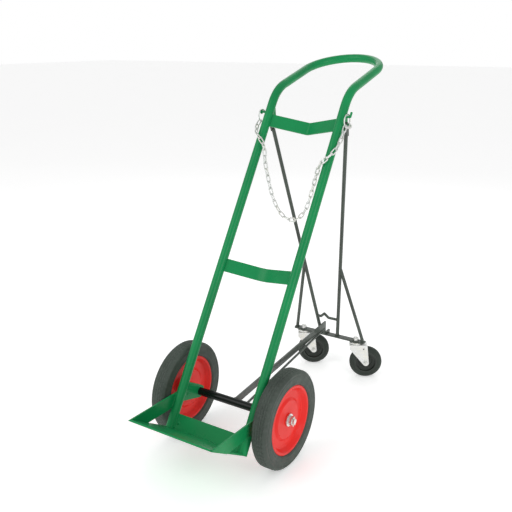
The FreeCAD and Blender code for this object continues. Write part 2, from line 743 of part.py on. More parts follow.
def is_crown_edge(edge, outer, top):
    """Whether an edge is a long outer edge of the fork's crown."""
    return all(abs(abs(v.X) - outer) < 0.01 and abs(v.Z - top) < 0.01 for v in edge.Vertexes)


def caster_race(side):
    """Bearing race between the fork's crown and the cross-bar."""
    top = RACE_TOP - CASTER_DIAMETER / 2
    lower = Part.makeCylinder(RACE_DIAMETER / 2 - RACE_LIP, RACE_HEIGHT, Vector(0, 0, top - RACE_HEIGHT))
    rim = Part.makeCylinder(RACE_DIAMETER / 2, RACE_HEIGHT * 0.5, Vector(0, 0, top - RACE_HEIGHT * 0.75))
    bore = Part.makeCylinder(KINGPIN_DIAMETER / 2, RACE_HEIGHT, Vector(0, 0, top - RACE_HEIGHT))
    return place_caster(clean(lower.fuse(rim).cut(bore)), side)


def caster_kingpin(side):
    """Bolt up through the fork, the race and the cross-bar."""
    under = CASTER_DIAMETER / 2 + CASTER_CROWN_GAP - FREE
    end = BAR_TOP - CASTER_DIAMETER / 2 + KINGPIN_END
    shank = Part.makeCylinder(KINGPIN_DIAMETER / 2, end - under, Vector(0, 0, under))
    head_radius = KINGPIN_DIAMETER / 2 + KINGPIN_HEAD_LIP
    head = Part.makeCylinder(head_radius, KINGPIN_HEAD_HEIGHT, Vector(0, 0, under - KINGPIN_HEAD_HEIGHT))
    return place_caster(clean(shank.fuse(head)), side)


def caster_kingpin_nut(side):
    """Nut on top of the cross-bar."""
    face = Vector(0, 0, BAR_TOP - CASTER_DIAMETER / 2)
    nut = hexagon(face, Z_AXIS, KINGPIN_FLATS, KINGPIN_NUT)
    return place_caster(nut.cut(Part.makeCylinder(KINGPIN_DIAMETER / 2, KINGPIN_NUT, face)), side)


def caster_turned(profile):
    """Turn a profile of (radius, offset) points about the caster wheel's axle."""
    points = [Vector(offset, CASTER_TRAIL, radius) for radius, offset in profile]
    outline = Part.makePolygon(points + [points[0]])
    return Part.Face(outline).revolve(Vector(0, CASTER_TRAIL, 0), X_AXIS, 360)


def caster_tyre(side):
    """Rubber tread ring of a caster wheel."""
    outer = CASTER_DIAMETER / 2
    inner = CASTER_CORE_DIAMETER / 2
    half = CASTER_WIDTH / 2
    shoulder = half * 0.45
    foot = half - CASTER_EDGE
    tread = half - shoulder - CASTER_EDGE
    bead = inner + CASTER_BEAD
    profile = [(inner, -foot), (inner, foot), (bead, half), (outer - shoulder, foot), (outer, tread),
               (outer, -tread), (outer - shoulder, -foot), (bead, -half)]
    return place_caster(caster_turned(profile), side)


def caster_core(side):
    """Moulded centre of a caster wheel, with a deep web between its rim and its boss."""
    outer = CASTER_CORE_DIAMETER / 2
    half = CASTER_WIDTH / 2 - CASTER_EDGE
    boss = CASTER_BOSS_RADIUS
    bore = CASTER_AXLE_DIAMETER / 2 + RUNNING
    boss_half = fork_inner_half() - AXIAL
    web = CASTER_CORE_WEB
    ring = outer - CASTER_CORE_RIM
    profile = [(bore, -boss_half), (boss, -boss_half), (boss, -web), (ring, -web), (ring, -half), (outer, -half),
               (outer, half), (ring, half), (ring, web), (boss, web), (boss, boss_half), (bore, boss_half)]
    return place_caster(caster_turned(profile), side)


def caster_axle(side):
    """Bolt across the fork that the wheel turns on."""
    outer = fork_inner_half() + FORK_SIDE_SHEET
    start = Vector(-outer, CASTER_TRAIL, 0)
    shank = Part.makeCylinder(CASTER_AXLE_DIAMETER / 2, 2 * outer + CASTER_AXLE_END, start, X_AXIS)
    bolt = shank.fuse(hexagon(start, -X_AXIS, CASTER_AXLE_FLATS, CASTER_AXLE_HEAD))
    return place_caster(clean(bolt), side)


def caster_axle_nut(side):
    """Nut on the end of the caster's axle bolt."""
    face = Vector(fork_inner_half() + FORK_SIDE_SHEET, CASTER_TRAIL, 0)
    nut = hexagon(face, X_AXIS, CASTER_AXLE_FLATS, CASTER_AXLE_NUT)
    bore = Part.makeCylinder(CASTER_AXLE_DIAMETER / 2, CASTER_AXLE_NUT, face, X_AXIS)
    return place_caster(nut.cut(bore), side)


# ---- lock arm ----
ARM_END_Y = BAR_CENTRE.y - CROSS_BAR_WIDTH / 2
ARM_RISE = ARM_END_Y * math.tan(math.radians(ARM_ANGLE))
ARM_LEVEL = Vector(ARM_X - ARM_FOOT_X, ARM_END_Y, 0).normalize()
ARM_SIDE = ARM_LEVEL.cross(Z_AXIS)


def sleeve_space():
    """Round space of the axle sleeve."""
    inner = HALF_SPACING - PLATE_THICKNESS / 2
    return cylinder(AXLE - X_AXIS * inner, AXLE + X_AXIS * inner, SLEEVE_DIAMETER / 2)


def arm_point(y, z):
    """Point in the arm's middle plane at a distance y behind the axle and a height z."""
    share = y / ARM_END_Y
    return Vector(ARM_FOOT_X + (ARM_X - ARM_FOOT_X) * share, y, z)


def lock_arm():
    """Flat bar on edge from the sleeve to the cross-bar, with a post and a low hook over the bar."""
    half = ARM_HEIGHT / 2
    roof = BAR_TOP + HOOK_CLEARANCE
    inner_y = BAR_CENTRE.y + CROSS_BAR_WIDTH / 2 + HOOK_CLEARANCE
    outer_y = inner_y + HOOK_PRONG
    prong_z = roof - HOOK_DROP - HOOK_CLEARANCE
    post_y = ARM_END_Y - HOOK_PRONG
    end_z = WHEEL_RADIUS + ARM_RISE
    bar_points = [arm_point(0, WHEEL_RADIUS - half), arm_point(0, WHEEL_RADIUS + half),
                  arm_point(ARM_END_Y, end_z + half), arm_point(ARM_END_Y, end_z - half)]
    hook_points = [arm_point(post_y, end_z), arm_point(post_y, roof), arm_point(inner_y, roof),
                   arm_point(inner_y, prong_z), arm_point(outer_y, prong_z),
                   arm_point(outer_y, roof + HOOK_BRIDGE), arm_point(ARM_END_Y, roof + HOOK_BRIDGE),
                   arm_point(ARM_END_Y, end_z)]
    thickness = ARM_SIDE * ARM_THICKNESS
    outlines = [[point - thickness * 0.5 for point in points] for points in (bar_points, hook_points)]
    bar, hook = [plate(points, thickness) for points in outlines]
    return clean(bar.fuse(hook).cut(sleeve_space()))


def lock_arm_brace():
    """Round rod from the sleeve to the side of the arm's post."""
    start = AXLE + X_AXIS * ARM_BRACE_X
    end = arm_point(ARM_END_Y - HOOK_PRONG / 2, WHEEL_RADIUS + ARM_BRACE_RISE)
    rod = cylinder(start, end, ARM_BRACE_DIAMETER / 2)
    return clean(rod.cut(sleeve_space()).cut(lock_arm()))


# ---- chain ----
RING_HANG = Vector(0, -0.62, -0.785).normalize()


def stud_root(side):
    """Where a chain stud leaves the outer side of its upright."""
    return on_frame(side * HALF_SPACING, STUD_S, 0)


def stud_reach():
    """How far the chain studs stand out from the upright's centre."""
    return TUBE_RADIUS + RING_OFFSET + STUD_NECK


def chain_stud():
    """Headed stud on the left upright that keeps its ring for good."""
    start = stud_root(-1)
    neck = start - X_AXIS * stud_reach()
    stud = cylinder(start, neck, STUD_DIAMETER / 2)
    head = cylinder(neck, neck - X_AXIS * STUD_HEAD, STUD_DIAMETER)
    return clean(stud.fuse(head).cut(tube_blank(-1)))


def chain_hook():
    """Upturned hook on the right upright, which the other ring lifts off."""
    start = stud_root(1)
    corner = start + X_AXIS * stud_reach()
    radius = STUD_DIAMETER / 2
    hook = cylinder(start, corner, radius).fuse(Part.makeSphere(radius, corner))
    hook = hook.fuse(cylinder(corner, corner + UP * HOOK_UPTURN, radius))
    return clean(hook.cut(tube_blank(1)))


def ring_centre(side):
    """Centre of a chain ring that hangs from its stud, drawn forward by the chain."""
    offset = RING_RADIUS - CHAIN_WIRE / 2 - STUD_DIAMETER / 2 - FREE
    return stud_root(side) + X_AXIS * (side * (TUBE_RADIUS + RING_OFFSET)) + RING_HANG * offset


def chain_ring(side):
    """Wire ring round a stud."""
    return Part.makeTorus(RING_RADIUS, CHAIN_WIRE / 2, ring_centre(side), X_AXIS)


def ring_foot(side):
    """Point of a ring's wire furthest from its stud, where the first link hangs."""
    return ring_centre(side) + RING_HANG * RING_RADIUS


def chain_route():
    """Smooth line of the hanging chain from the left ring, over the uprights, to the right ring."""
    stand_off = TUBE_RADIUS + LINK_WIDTH / 2 + 1.5
    x = HALF_SPACING
    left = [ring_foot(-1), on_frame(-x - stand_off * 0.78, 862, stand_off * 0.72),
            on_frame(-x - stand_off * 0.1, 838, stand_off * 1.02),
            on_frame(-x + stand_off * 0.85, 815, stand_off * 0.62)]
    hanging = [Vector(-99, 338, 838), Vector(-88, 337, 790), Vector(-75, 336, 742), Vector(-56, 335, 700),
               Vector(-30, 334, 669), Vector(0, 333, 658), Vector(30, 331, 667), Vector(56, 329, 695),
               Vector(74, 327, 736), Vector(88, 325, 782)]
    right = [on_frame(x - stand_off * 1.1, 738, stand_off * 0.15),
             on_frame(x - stand_off * 0.62, 758, stand_off * 0.84),
             on_frame(x + stand_off * 0.25, 782, stand_off * 1.02),
             on_frame(x + stand_off * 0.86, 812, stand_off * 0.68),
             on_frame(x + stand_off * 1.05, 850, stand_off * 0.35), ring_foot(1)]
    curve = Part.BSplineCurve()
    curve.interpolate(left + hanging + right)
    return curve


def chain_link():
    """One oval link of round wire, long along Z."""
    wire = CHAIN_WIRE / 2
    bend = LINK_WIDTH / 2 - wire
    half = LINK_PITCH / 2 + wire - bend
    pieces = []
    for side in (-1, 1):
        section = Part.Face(Part.Wire(Part.makeCircle(wire, Vector(side * bend, 0, -half), Z_AXIS)))
        pieces.append(section.extrude(Z_AXIS * (2 * half)))
        centre = Vector(0, 0, side * half)
        end_section = Part.Face(Part.Wire(Part.makeCircle(wire, centre + X_AXIS * bend, Z_AXIS)))
        pieces.append(end_section.revolve(centre, -Y_AXIS * side, 180))
    return clean(pieces[0].multiFuse(pieces[1:]))


def safety_chain():
    """Oval links, each turned a quarter from the last, spaced evenly along the route.

    The first and last links lie across the wires of their rings, so the count is odd.
    """
    curve = chain_route()
    length = curve.length()
    first = LINK_PITCH / 2 - CHAIN_WIRE / 2 - LINK_SLACK
    spans = 2 * round((length - 2 * first) / (LINK_PITCH - LINK_SLACK) / 2)
    spacing = (length - 2 * first) / spans
    link = chain_link()
    links = []
    for index in range(spans + 1):
        parameter = curve.parameterAtDistance(first + spacing * index)
        tangent = Vector(*curve.tangent(parameter)[0])
        across = tangent.cross(Y_AXIS).normalize()
        other = tangent.cross(across).normalize()
        turn = math.radians(90 * (index % 2))
        side = across * math.cos(turn) + other * math.sin(turn)
        placed = link.copy()
        rotation = FreeCAD.Rotation(side, tangent.cross(side), tangent, "ZXY")
        placed.Placement = FreeCAD.Placement(curve.value(parameter), rotation)
        links.append(placed)
    print("chain length %.1f mm, %d links, spacing %.2f mm" % (length, spans + 1, spacing))
    return group(links)


# ---- all nodes ----
def build_nodes():
    """Every separate piece by name."""
    nodes = {
        "frame_tube": frame_tube(),
        "upper_brace": brace(UPPER_BRACE_S, UPPER_BEND_RADIUS),
        "lower_brace": brace(LOWER_BRACE_S, LOWER_BEND_RADIUS),
        "toe_plate": toe_plate(),
        "toe_riser": toe_riser(),
        "frame_rivets": frame_rivets(),
        "axle_shaft": axle_shaft(),
        "axle_sleeve": axle_sleeve(),
        "axle_spacers": group([axle_spacer(side) for side in SIDES.values()]),
        "axle_washers": group([axle_washer(side) for side in SIDES.values()]),
        "axle_nuts": group([axle_nut(side) for side in SIDES.values()]),
        "split_pins": group([split_pin(side) for side in SIDES.values()]),
        "pivot_bolts": group([pivot_bolt(side) for side in SIDES.values()]),
        "pivot_nuts": group([pivot_nut(side) for side in SIDES.values()]),
        "cross_bar": cross_bar(),
        "guide_strap": guide_strap(),
        "lock_arm": lock_arm(),
        "lock_arm_brace": lock_arm_brace(),
        "chain_stud": chain_stud(),
        "chain_hook": chain_hook(),
        "safety_chain": safety_chain(),
    }
    sided = {
        "toe_strap": toe_strap, "axle_gusset": axle_gusset, "pivot_lug": pivot_lug, "tyre": tyre,
        "wheel_hub": wheel_hub, "wheel_bush": wheel_bush, "leg_main_rod": leg_main_rod,
        "leg_brace_rod": leg_brace_rod, "caster_fork": caster_fork, "caster_race": caster_race,
        "caster_kingpin": caster_kingpin, "caster_kingpin_nut": caster_kingpin_nut,
        "caster_tyre": caster_tyre, "caster_core": caster_core, "caster_axle": caster_axle,
        "caster_axle_nut": caster_axle_nut, "chain_ring": chain_ring,
    }
    for word, side in SIDES.items():
        for name, make in sided.items():
            nodes[word + "_" + name] = make(side)
        nodes[word + "_rim_outer"] = rim_half(side, 1)
        nodes[word + "_rim_inner"] = rim_half(side, -1)
    return nodes


def main():
    """Build, centre over the floor and export every node."""
    os.makedirs("parts", exist_ok=True)
    nodes = build_nodes()
    box = group(list(nodes.values())).optimalBoundingBox(False)
    shift = Vector(-(box.XMin + box.XMax) / 2, -(box.YMin + box.YMax) / 2, -box.ZMin)
    for name, shape in nodes.items():
        placed = shape.copy()
        placed.translate(shift)
        placed.exportStep("parts/%s.step" % name)
    for label, point in (("axle", AXLE), ("pivot", PIVOT), ("left caster", caster_centre(-1)),
                         ("right caster", caster_centre(1)), ("stud", stud_root(0)),
                         ("toe plate top", on_frame(0, FOOT_S, TOE_DEPTH / 2))):
        place = point + shift
        print("%s at %.4f %.4f %.4f" % (label, place.x, place.y, place.z))
    print("%d nodes, box %.1f x %.1f x %.1f" % (len(nodes), box.XLength, box.YLength, box.ZLength))


main()
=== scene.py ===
"""Finish of a gas cylinder hand truck: paint, rubber, plated steel, turned wheels and weld beads."""

import json
import math

import bpy
import numpy as np
from mathutils import Matrix, Vector


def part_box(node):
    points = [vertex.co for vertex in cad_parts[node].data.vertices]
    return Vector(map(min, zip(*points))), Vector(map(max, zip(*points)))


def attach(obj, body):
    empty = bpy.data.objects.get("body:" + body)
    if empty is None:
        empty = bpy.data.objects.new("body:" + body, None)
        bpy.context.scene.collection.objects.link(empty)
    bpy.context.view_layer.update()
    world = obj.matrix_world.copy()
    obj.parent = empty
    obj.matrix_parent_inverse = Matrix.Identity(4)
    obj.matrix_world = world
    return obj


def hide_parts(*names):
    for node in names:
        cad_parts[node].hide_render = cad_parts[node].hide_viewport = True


bl_info = {
    "name": "Cylinder hand truck finish",
    "version": (1, 0, 0),
    "blender": (4, 5, 0),
    "location": "View3D > Sidebar > Cart",
    "description": "Paints and details the parts of a gas cylinder hand truck",
    "category": "Object",
}

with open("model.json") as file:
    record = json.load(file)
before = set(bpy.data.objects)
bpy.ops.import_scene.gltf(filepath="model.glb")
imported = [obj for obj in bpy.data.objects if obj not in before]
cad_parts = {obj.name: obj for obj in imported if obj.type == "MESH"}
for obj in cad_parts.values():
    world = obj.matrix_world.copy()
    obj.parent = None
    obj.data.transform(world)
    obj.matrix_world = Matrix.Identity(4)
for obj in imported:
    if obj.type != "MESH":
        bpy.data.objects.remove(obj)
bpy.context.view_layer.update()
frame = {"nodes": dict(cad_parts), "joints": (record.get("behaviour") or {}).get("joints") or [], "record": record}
NODES = frame["nodes"]
JOINTS = {joint["name"]: joint for joint in frame["joints"]}
MOUNTS = {mount["name"]: mount for mount in frame["record"]["mounts"]}
SIDES = {"left": -1, "right": 1}
TURN = 2 * math.pi
X_AXIS = np.array([1.0, 0.0, 0.0])
Z_AXIS = np.array([0.0, 0.0, 1.0])
UP_FRAME = np.array(MOUNTS["toe_plate_top"]["axis"])
FORWARD = np.array([0.0, -UP_FRAME[2], UP_FRAME[1]])
AXLE = np.array([0.0, *JOINTS["left_wheel_spin"]["pos_m"][1:]])

CORNER_SHARE = 0.48
SMALLEST_RADIUS = 1e-6
NO_LENGTH = 1e-12
NEARLY_STRAIGHT = math.radians(89)


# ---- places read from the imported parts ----
def corners(node):
    """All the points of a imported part, as an array."""
    count = len(NODES[node].data.vertices)
    flat = np.zeros(count * 3, np.float32)
    NODES[node].data.vertices.foreach_get("co", flat)
    return flat.reshape(-1, 3).astype(float)


def reach(node, direction):
    """Lowest and highest distance of a part's points along a direction."""
    along = corners(node) @ np.asarray(direction)
    return along.min(), along.max()


FRAME_PLANE = sum(reach("toe_riser", FORWARD)) / 2
FRAME_ZERO = AXLE @ UP_FRAME
TUBE_RADIUS = (reach("frame_tube", X_AXIS)[1] - reach("toe_riser", X_AXIS)[1]) / 2


def on_frame(x, s, n):
    """Point x across, s up the uprights from the axle's height on them, n in front of their plane."""
    return X_AXIS * x + UP_FRAME * (s + FRAME_ZERO) + FORWARD * (n + FRAME_PLANE)


# ---- surfaces ----
def rounded(points, radii, steps=6):
    """Closed outline with its corners rounded. At a corner whose sides meet at an angle a, an arc of
    radius r starts and ends r / tan(a / 2) from the corner, about a centre r / sin(a / 2) from it. No arc
    takes more than CORNER_SHARE of a side."""
    points = np.asarray(points, float)
    outline = []
    for index, corner in enumerate(points):
        before = points[index - 1] - corner
        after = points[(index + 1) % len(points)] - corner
        shortest = min(np.linalg.norm(before), np.linalg.norm(after))
        before /= np.linalg.norm(before)
        after /= np.linalg.norm(after)
        half = math.acos(np.clip(before @ after, -1, 1)) / 2
        radius = min(radii[index], CORNER_SHARE * shortest * math.tan(half))
        if radius < SMALLEST_RADIUS or half > NEARLY_STRAIGHT:
            outline.append(corner[None])
            continue
        middle = (before + after) / np.linalg.norm(before + after)
        centre = corner + middle * radius / math.sin(half)
        first = corner + before * radius / math.tan(half) - centre
        last = corner + after * radius / math.tan(half) - centre
        sweep = math.acos(np.clip(first @ last / radius ** 2, -1, 1))
        share = np.linspace(0, 1, steps + 1)[:, None]
        arc = (np.sin((1 - share) * sweep) * first + np.sin(share * sweep) * last) / math.sin(sweep)
        outline.append(centre + arc)
    return np.vstack(outline)


def spaced(outline, count):
    """A closed outline's points set at equal distances along it."""
    loop = np.vstack([outline, outline[:1]])
    run = np.concatenate([[0], np.cumsum(np.linalg.norm(np.diff(loop, axis=0), axis=1))])
    at = np.linspace(0, run[-1], count, endpoint=False)
    return np.stack([np.interp(at, run, loop[:, k]) for k in range(loop.shape[1])], -1)


def outward_normals(outline):
    """Unit normals of a closed outline: the tangent turned by a right angle, away from the middle."""
    tangent = np.roll(outline, -1, axis=0) - np.roll(outline, 1, axis=0)
    normal = np.stack([tangent[:, 1], -tangent[:, 0]], -1)
    normal /= np.maximum(np.linalg.norm(normal, axis=1, keepdims=True), NO_LENGTH)
    area = np.sum(outline[:, 0] * np.roll(outline[:, 1], -1) - outline[:, 1] * np.roll(outline[:, 0], -1))
    return normal * (1 if area > 0 else -1)


def basis(axis):
    """Two directions square to an axis and to each other, by the cross product with a third."""
    axis = np.asarray(axis, float) / np.linalg.norm(axis)
    nearly_upright = abs(axis[2]) >= 0.9
    helper = X_AXIS if nearly_upright else Z_AXIS
    first = np.cross(helper, axis)
    first /= np.linalg.norm(first)
    return first, np.cross(axis, first)


def turned(outline, centre, axis, steps):
    """Surface turned about an axis: centre + axis * offset + radius * (cos t, sin t) for an outline of
    (radius, offset). The outline may be one for all t, or one for each of the steps."""
    axis = np.asarray(axis, float) / np.linalg.norm(axis)
    first, second = basis(axis)
    angle = np.linspace(0, TURN, steps, endpoint=False)[:, None, None]
    outline = np.broadcast_to(outline, (steps,) + np.shape(outline)[-2:])
    spoke = np.cos(angle) * first + np.sin(angle) * second
    return np.asarray(centre) + outline[..., 1:2] * axis + outline[..., 0:1] * spoke


def swept(path, radii, sides):
    """Round bead along a path: at each point a circle of its own radius, square to the path."""
    path = np.asarray(path, float)
    along = np.gradient(path, axis=0)
    along /= np.linalg.norm(along, axis=1, keepdims=True)
    first, _ = basis(along[len(along) // 2])
    across = np.cross(along, np.cross(first, along))
    across /= np.linalg.norm(across, axis=1, keepdims=True)
    other = np.cross(along, across)
    angle = np.linspace(0, TURN, sides, endpoint=False)[None, :, None]
    circle = np.cos(angle) * across[:, None] + np.sin(angle) * other[:, None]
    return path[:, None] + circle * np.asarray(radii)[:, None, None]


def grid_faces(rows, columns, wrap_rows, first=0):
    """Four-sided faces that join each point of a grid to the next row and the next column."""
    i = np.arange(rows if wrap_rows else rows - 1)[:, None]
    j = np.arange(columns)[None, :]
    below = (i + 1) % rows
    right = (j + 1) % columns
    here = i * columns
    there = below * columns
    faces = np.stack([here + j, there + j, there + right, here + right], -1)
    return faces.reshape(-1, 4) + first


def volume(points, faces):
    """Signed volume: a sixth of the sum of each triangle's a . (b x c)."""
    a, b, c, d = (points[faces[:, k]] for k in range(4))
    return (np.sum(a * np.cross(b, c)) + np.sum(a * np.cross(c, d))) / 6


def make_piece(name, grids, material, body, replaced=(), wrap_rows=True, crease=40):
    """One mesh from grids of points, closed, smooth, with its faces outward, riding on a body."""
    points = []
    faces = []
    first = 0
    for grid in grids:
        rows, columns = grid.shape[:2]
        flat = grid.reshape(-1, 3)
        quads = grid_faces(rows, columns, wrap_rows)
        flip = volume(flat - flat.mean(axis=0), quads) < 0
        ends = []
        if not wrap_rows:
            ends = [list(range(columns)), list(range((rows - 1) * columns, rows * columns))[::-1]]
        quads = quads[:, ::-1] if flip else quads
        ends = [end[::-1] for end in ends] if flip else ends
        points.append(flat)
        faces += (quads + first).tolist()
        faces += [[corner + first for corner in end] for end in ends]
        first += rows * columns
    mesh = bpy.data.meshes.new(name)
    mesh.from_pydata(np.vstack(points).tolist(), [], faces)
    mesh.polygons.foreach_set("use_smooth", [True] * len(mesh.polygons))
    mesh.set_sharp_from_angle(angle=math.radians(crease))
    mesh.update()
    if mesh.validate():
        raise RuntimeError(f"{name} has faces that don't hold together")
    piece = bpy.data.objects.new(name, mesh)
    bpy.context.scene.collection.objects.link(piece)
    piece.data.materials.append(material)
    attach(piece, body)
    if replaced:
        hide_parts(*replaced)
    return piece


# ---- materials ----
class Finish:
    """One material's nodes, on Object coordinates."""

    coat_roughness = 0.08

    def __init__(self, name, roughness, metallic=0.0, coat=0.0, specular=0.5):
        self.material = bpy.data.materials.new(name)
        self.material.use_nodes = True
        self.nodes = self.material.node_tree.nodes
        self.links = self.material.node_tree.links
        self.shader = self.nodes["Principled BSDF"]
        self.shader.inputs["Roughness"].default_value = roughness
        self.shader.inputs["Metallic"].default_value = metallic
        self.shader.inputs["Coat Weight"].default_value = coat
        self.shader.inputs["Coat Roughness"].default_value = self.coat_roughness
        self.shader.inputs["Specular IOR Level"].default_value = specular
        self.place = self.nodes.new("ShaderNodeTexCoord").outputs["Object"]
        self.normal = None

    def stretch(self, scale):
        """Object coordinates drawn out by a scale along each axis."""
        mapping = self.nodes.new("ShaderNodeMapping")
        mapping.inputs["Scale"].default_value = scale
        self.links.new(self.place, mapping.inputs["Vector"])
        return mapping.outputs["Vector"]

    def noise(self, scale, detail=3.0, rough=0.5, at=None):
        """Noise whose cells are about 1 / scale metres wide."""
        node = self.nodes.new("ShaderNodeTexNoise")
        node.inputs["Scale"].default_value = scale
        node.inputs["Detail"].default_value = detail
        node.inputs["Roughness"].default_value = rough
        self.links.new(at or self.place, node.inputs["Vector"])
        return node.outputs["Fac"]

    def cells(self, scale):
        """Distance to the nearest of scattered points."""
        node = self.nodes.new("ShaderNodeTexVoronoi")
        node.inputs["Scale"].default_value = scale
        self.links.new(self.place, node.inputs["Vector"])
        return node.outputs["Distance"]

    def spread(self, value, low, high, start=0.0, end=1.0):
        """A value carried from low..high to start..end, and held there outside it."""
        node = self.nodes.new("ShaderNodeMapRange")
        node.inputs["From Min"].default_value = low
        node.inputs["From Max"].default_value = high
        node.inputs["To Min"].default_value = start
        node.inputs["To Max"].default_value = end
        self.links.new(value, node.inputs["Value"])
        return node.outputs["Result"]

    def mix(self, share, first, second):
        """Colour between two, where each is a colour or another node's output."""
        node = self.nodes.new("ShaderNodeMix")
        node.data_type = "RGBA"
        self.links.new(share, node.inputs["Factor"])
        sockets = [s for s in node.inputs if s.type == "RGBA"]
        for socket, colour in zip(sockets, (first, second)):
            if isinstance(colour, bpy.types.NodeSocket):
                self.links.new(colour, socket)
            else:
                socket.default_value = (*colour, 1.0)
        return next(s for s in node.outputs if s.type == "RGBA")

    def bump(self, height, depth, strength=1.0):
        """Raises the surface by a height pattern whose full range is depth metres."""
        node = self.nodes.new("ShaderNodeBump")
        node.inputs["Strength"].default_value = strength
        node.inputs["Distance"].default_value = depth
        self.links.new(height, node.inputs["Height"])
        if self.normal:
            self.links.new(self.normal, node.inputs["Normal"])
        self.normal = node.outputs["Normal"]
        self.links.new(self.normal, self.shader.inputs["Normal"])

    def glow(self, strength):
        """Lets the surface give off white light."""
        self.shader.inputs["Emission Color"].default_value = (1.0, 1.0, 1.0, 1.0)
        self.shader.inputs["Emission Strength"].default_value = strength

    def colour(self, value):
        self.links.new(value, self.shader.inputs["Base Color"])

    def roughness(self, value):
        self.links.new(value, self.shader.inputs["Roughness"])


def tint(colour, factor):
    """A colour made lighter or darker by a factor."""
    return tuple(min(1.0, c * factor) for c in colour)


def enamel(name, colour, gloss, dust):
    """Sprayed enamel: orange peel, slow change of shade, thin scuffs and a little settled dust."""
    finish = Finish(name, gloss, coat=0.05, specular=0.18)
    shade = finish.spread(finish.noise(scale=7.0, detail=4.0), low=0.3, high=0.7)
    painted = finish.mix(shade, tint(colour, 0.86), tint(colour, 1.1))
    along_the_tube = finish.stretch((1.0, 1.0, 5.0))
    scratches = finish.noise(scale=60.0, detail=6.0, rough=0.65, at=along_the_tube)
    scuffs = finish.spread(scratches, low=0.66, high=0.74, start=0.0, end=dust)
    pale = tuple(0.55 * c + 0.12 for c in colour)
    finish.colour(finish.mix(scuffs, painted, pale))
    handled = finish.noise(scale=26.0, detail=5.0, rough=0.6)
    finish.roughness(finish.spread(handled, low=0.3, high=0.75, start=gloss * 0.8, end=gloss * 1.5))
    finish.bump(finish.noise(scale=420.0, detail=2.0), depth=0.00022, strength=0.5)
    finish.bump(finish.noise(scale=38.0, detail=2.0), depth=0.0006, strength=0.25)
    return finish.material


def rubber(name, colour, lift):
    """Moulded rubber: fine pitting, mould bloom and dust in patches."""
    finish = Finish(name, 0.6, specular=0.4)
    dust_colour = (0.16, 0.17, 0.155)
    bloom = finish.spread(finish.noise(scale=11.0, detail=5.0, rough=0.6), low=0.35, high=0.72)
    base = finish.mix(bloom, tint(colour, 0.78), tint(colour, 1.25))
    patches = finish.noise(scale=85.0, detail=5.0, rough=0.7)
    dust = finish.spread(patches, low=0.52, high=0.8, start=0.0, end=lift)
    finish.colour(finish.mix(dust, base, dust_colour))
    worn = finish.noise(scale=45.0, detail=4.0)
    finish.roughness(finish.spread(worn, low=0.3, high=0.7, start=0.48, end=0.72))
    finish.bump(finish.noise(scale=950.0, detail=3.0, rough=0.6), depth=0.00018, strength=0.6)
    return finish.material


def plated(name, colour, rough):
    """Bright zinc plate: soft spangle, faint yellow and blue passivation, rolling marks."""
    finish = Finish(name, rough, metallic=1.0)
    spangle = finish.spread(finish.cells(scale=210.0), low=0.1, high=0.8)
    yellowed = (colour[0] * 1.02, colour[1] * 0.98, colour[2] * 0.86)
    passivation = finish.spread(finish.noise(scale=30.0, detail=3.0), low=0.4, high=0.68)
    passivated = finish.mix(passivation, colour, yellowed)
    finish.colour(finish.mix(spangle, passivated, tint(colour, 0.88)))
    brushed = finish.noise(scale=120.0, detail=4.0)
    finish.roughness(finish.spread(brushed, low=0.3, high=0.7, start=rough * 0.75, end=rough * 1.35))
    finish.bump(finish.noise(scale=800.0, detail=3.0), depth=0.0001, strength=0.5)
    return finish.material


def bar_paint(name, colour):
    """Thin dark paint over rolled bar: mill marks along it and rubbed patches."""
    finish = Finish(name, 0.38, coat=0.12)
    patches = finish.noise(scale=55.0, detail=6.0, rough=0.7)
    rubbed = finish.spread(patches, low=0.6, high=0.78, start=0.0, end=0.55)
    slow = finish.spread(finish.noise(scale=9.0, detail=3.0), low=0.3, high=0.7)
    shade = finish.mix(slow, tint(colour, 0.8), tint(colour, 1.3))
    finish.colour(finish.mix(rubbed, shade, tint(colour, 2.4)))
    handled = finish.noise(scale=70.0, detail=4.0)
    finish.roughness(finish.spread(handled, low=0.3, high=0.72, start=0.28, end=0.5))
    finish.bump(finish.noise(scale=300.0, detail=4.0), depth=0.0002, strength=0.5)
    return finish.material


def moulded(name, colour, rough):
    """Moulded plastic: faint flow marks and a fine grain."""
    finish = Finish(name, rough)
    flow = finish.spread(finish.noise(scale=18.0, detail=4.0), low=0.3, high=0.7)
    finish.colour(finish.mix(flow, tint(colour, 0.85), tint(colour, 1.15)))
    grain = finish.noise(scale=60.0, detail=3.0)
    finish.roughness(finish.spread(grain, low=0.3, high=0.7, start=rough * 0.85, end=rough * 1.2))
    finish.bump(finish.noise(scale=700.0, detail=2.0), depth=0.00012, strength=0.5)
    return finish.material


MATERIALS = {}


def build_materials(colours):
    """One finish for each material slot of the record."""
    MATERIALS["green_paint"] = enamel("green enamel", tuple(colours.green), gloss=0.3, dust=0.12)
    MATERIALS["red_paint"] = enamel("red enamel", tuple(colours.red), gloss=0.32, dust=0.1)
    MATERIALS["black_gloss_paint"] = enamel("black gloss enamel", tuple(colours.black), gloss=0.16,
                                            dust=0.06)
    MATERIALS["dark_rod_paint"] = bar_paint("dark bar paint", tuple(colours.rods))
    MATERIALS["zinc_plate"] = plated("bright zinc plate", tuple(colours.zinc), rough=0.34)
    MATERIALS["tyre_rubber"] = rubber("tyre rubber", tuple(colours.tyre), lift=0.3)
    MATERIALS["caster_rubber"] = rubber("caster rubber", tuple(colours.caster), lift=0.14)
    MATERIALS["caster_core_plastic"] = moulded("caster core", tuple(colours.core), rough=0.45)
    MATERIALS["nylon"] = moulded("nylon", tuple(colours.bush), rough=0.4)


def paint(nodes):
    """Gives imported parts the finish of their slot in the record."""
    slots = {part["node"]: part["material_slot"] for part in frame["record"]["subparts"]}
    for node in nodes:
        data = NODES[node].data
        data.materials.clear()
        data.materials.append(MATERIALS[slots[node]])


